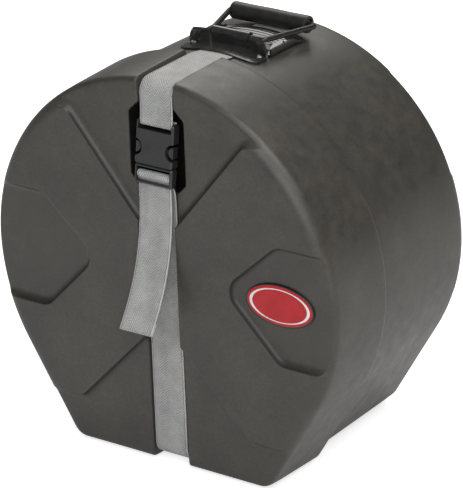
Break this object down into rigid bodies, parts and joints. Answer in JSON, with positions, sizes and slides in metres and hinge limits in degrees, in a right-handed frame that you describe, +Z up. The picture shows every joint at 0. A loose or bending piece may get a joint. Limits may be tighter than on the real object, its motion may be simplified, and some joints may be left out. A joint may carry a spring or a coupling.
{
  "type": "drum case",
  "caption": "Moulded D-shaped drum case: a front lid that slides over a rear base, closed by one web strap with a side-release buckle, with a folding wire handle on top.",
  "frame": {"origin": "under the middle of the whole case, on the surface that it stands on", "axes": "+X to the right as the buckle side is faced, +Y from the lid to the rear of the base, +Z up to the handle"},
  "size_m": [0.4076, 0.2852, 0.4135],
  "materials": {
    "plastic": "matte with a fine mould grain",
    "foam": "open-cell foam",
    "webbing": "woven",
    "acetal": "satin moulded",
    "black_steel": "gloss",
    "zinc": "zinc plated",
    "rivet": "gloss",
    "wire": "satin",
    "grip_rubber": "matte",
    "badge_edge": "gloss",
    "badge_red": "gloss",
    "badge_white": "gloss"
  },
  "bodies": {
    "base": {"base_shell": "plastic", "base_foam": "foam", "strap_rear": "webbing", "handle_plate": "black_steel", "handle_backing_left": "zinc", "handle_backing_right": "zinc", "handle_rivet_front_left": "rivet", "handle_rivet_front_right": "rivet", "handle_rivet_rear_left": "rivet", "handle_rivet_rear_right": "rivet"},
    "lid": {"lid_shell": "plastic", "lid_foam": "foam", "strap_upper": "webbing", "strap_lower": "webbing", "buckle_socket": "acetal", "buckle_plug": "acetal", "badge_backing": "badge_edge", "badge_face": "badge_red", "badge_ring": "badge_white"},
    "bail": {"handle_bail": "wire", "handle_grip": "grip_rubber"},
    "prong_left": {"buckle_prong_left": "acetal"},
    "prong_right": {"buckle_prong_right": "acetal"}
  },
  "joints": [
    {"name": "lid_slide", "type": "slide", "parent": "base", "child": "lid", "axis": [0, -1, 0], "range_m": [0, 0.075]},
    {"name": "bail_hinge", "type": "hinge", "parent": "base", "child": "bail", "pos_m": [0, 0.03135, 0.40823], "axis": [1, 0, 0], "range_deg": [0, 93]},
    {"name": "prong_left_press", "type": "hinge", "parent": "lid", "child": "prong_left", "pos_m": [-0.0105, -0.09795, 0.31838], "axis": [0, 0.9877, -0.1564], "range_deg": [0, 8], "stiffness_Nm_per_rad": 0.4},
    {"name": "prong_right_press", "type": "hinge", "parent": "lid", "child": "prong_right", "pos_m": [0.0105, -0.09795, 0.31838], "axis": [0, -0.9877, 0.1564], "range_deg": [0, 8], "stiffness_Nm_per_rad": 0.4}
  ]
}
